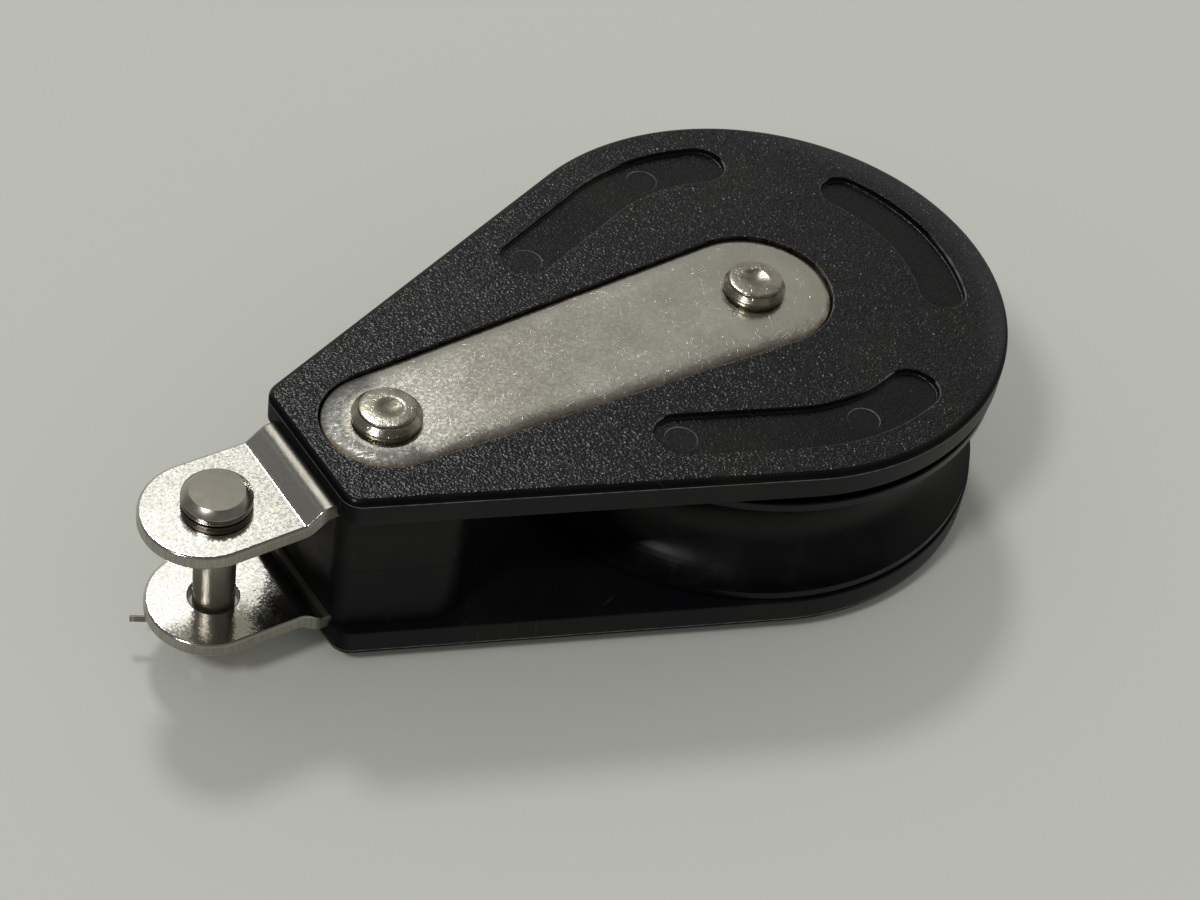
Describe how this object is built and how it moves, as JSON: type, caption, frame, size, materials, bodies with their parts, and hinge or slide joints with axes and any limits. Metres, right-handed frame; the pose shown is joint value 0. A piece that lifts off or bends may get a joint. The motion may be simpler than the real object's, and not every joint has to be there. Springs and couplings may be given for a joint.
{
  "type": "sailing block",
  "caption": "single-sheave sailing block: black pear-shaped cheeks with stainless side plates, a riveted axle, and a fork head with clevis pin and split pin",
  "frame": {"origin": "centre of the sheave's axle, halfway between the two cheeks", "axes": "+Z along the axle, towards the clevis pin's head; +X along the block, away from the fork; +Y completes a right-handed frame. The block lies on its lower rivet heads."},
  "size_m": [0.1201, 0.067, 0.031],
  "materials": {
    "cheek_plastic": "black glass-filled nylon, grained outer faces and smooth satin sides",
    "head_plastic": "black glass-filled nylon, smooth satin",
    "sheave_acetal": "black acetal, turned satin",
    "plate_steel": "stainless steel, satin with fine scratches",
    "fork_steel": "stainless steel, tumbled bright",
    "rivet_steel": "stainless steel, formed and burnished",
    "pin_steel": "stainless steel, turned",
    "bush_bronze": "sintered bronze, plain",
    "washer_plastic": "nylon washer, plain"
  },
  "bodies": {
    "block": {"upper_cheek": "cheek_plastic", "lower_cheek": "cheek_plastic", "upper_side_plate": "plate_steel", "lower_side_plate": "plate_steel", "head_block": "head_plastic", "upper_fork_arm": "fork_steel", "lower_fork_arm": "fork_steel", "axle_tube": "rivet_steel", "axle_rivet": "rivet_steel", "head_rivet": "rivet_steel", "head_tube": "rivet_steel"},
    "sheave": {"sheave": "sheave_acetal", "sheave_bush": "bush_bronze", "upper_thrust_washer": "washer_plastic", "lower_thrust_washer": "washer_plastic"},
    "clevis": {"clevis_pin": "pin_steel", "split_pin": "pin_steel"}
  },
  "joints": [
    {"name": "sheave_spin", "type": "hinge", "parent": "block", "child": "sheave", "pos_m": [0, 0, 0], "axis": [0, 0, 1], "continuous": true},
    {"name": "clevis_turn", "type": "hinge", "parent": "block", "child": "clevis", "pos_m": [-0.0771, 0, 0], "axis": [0, 0, 1], "continuous": true}
  ]
}
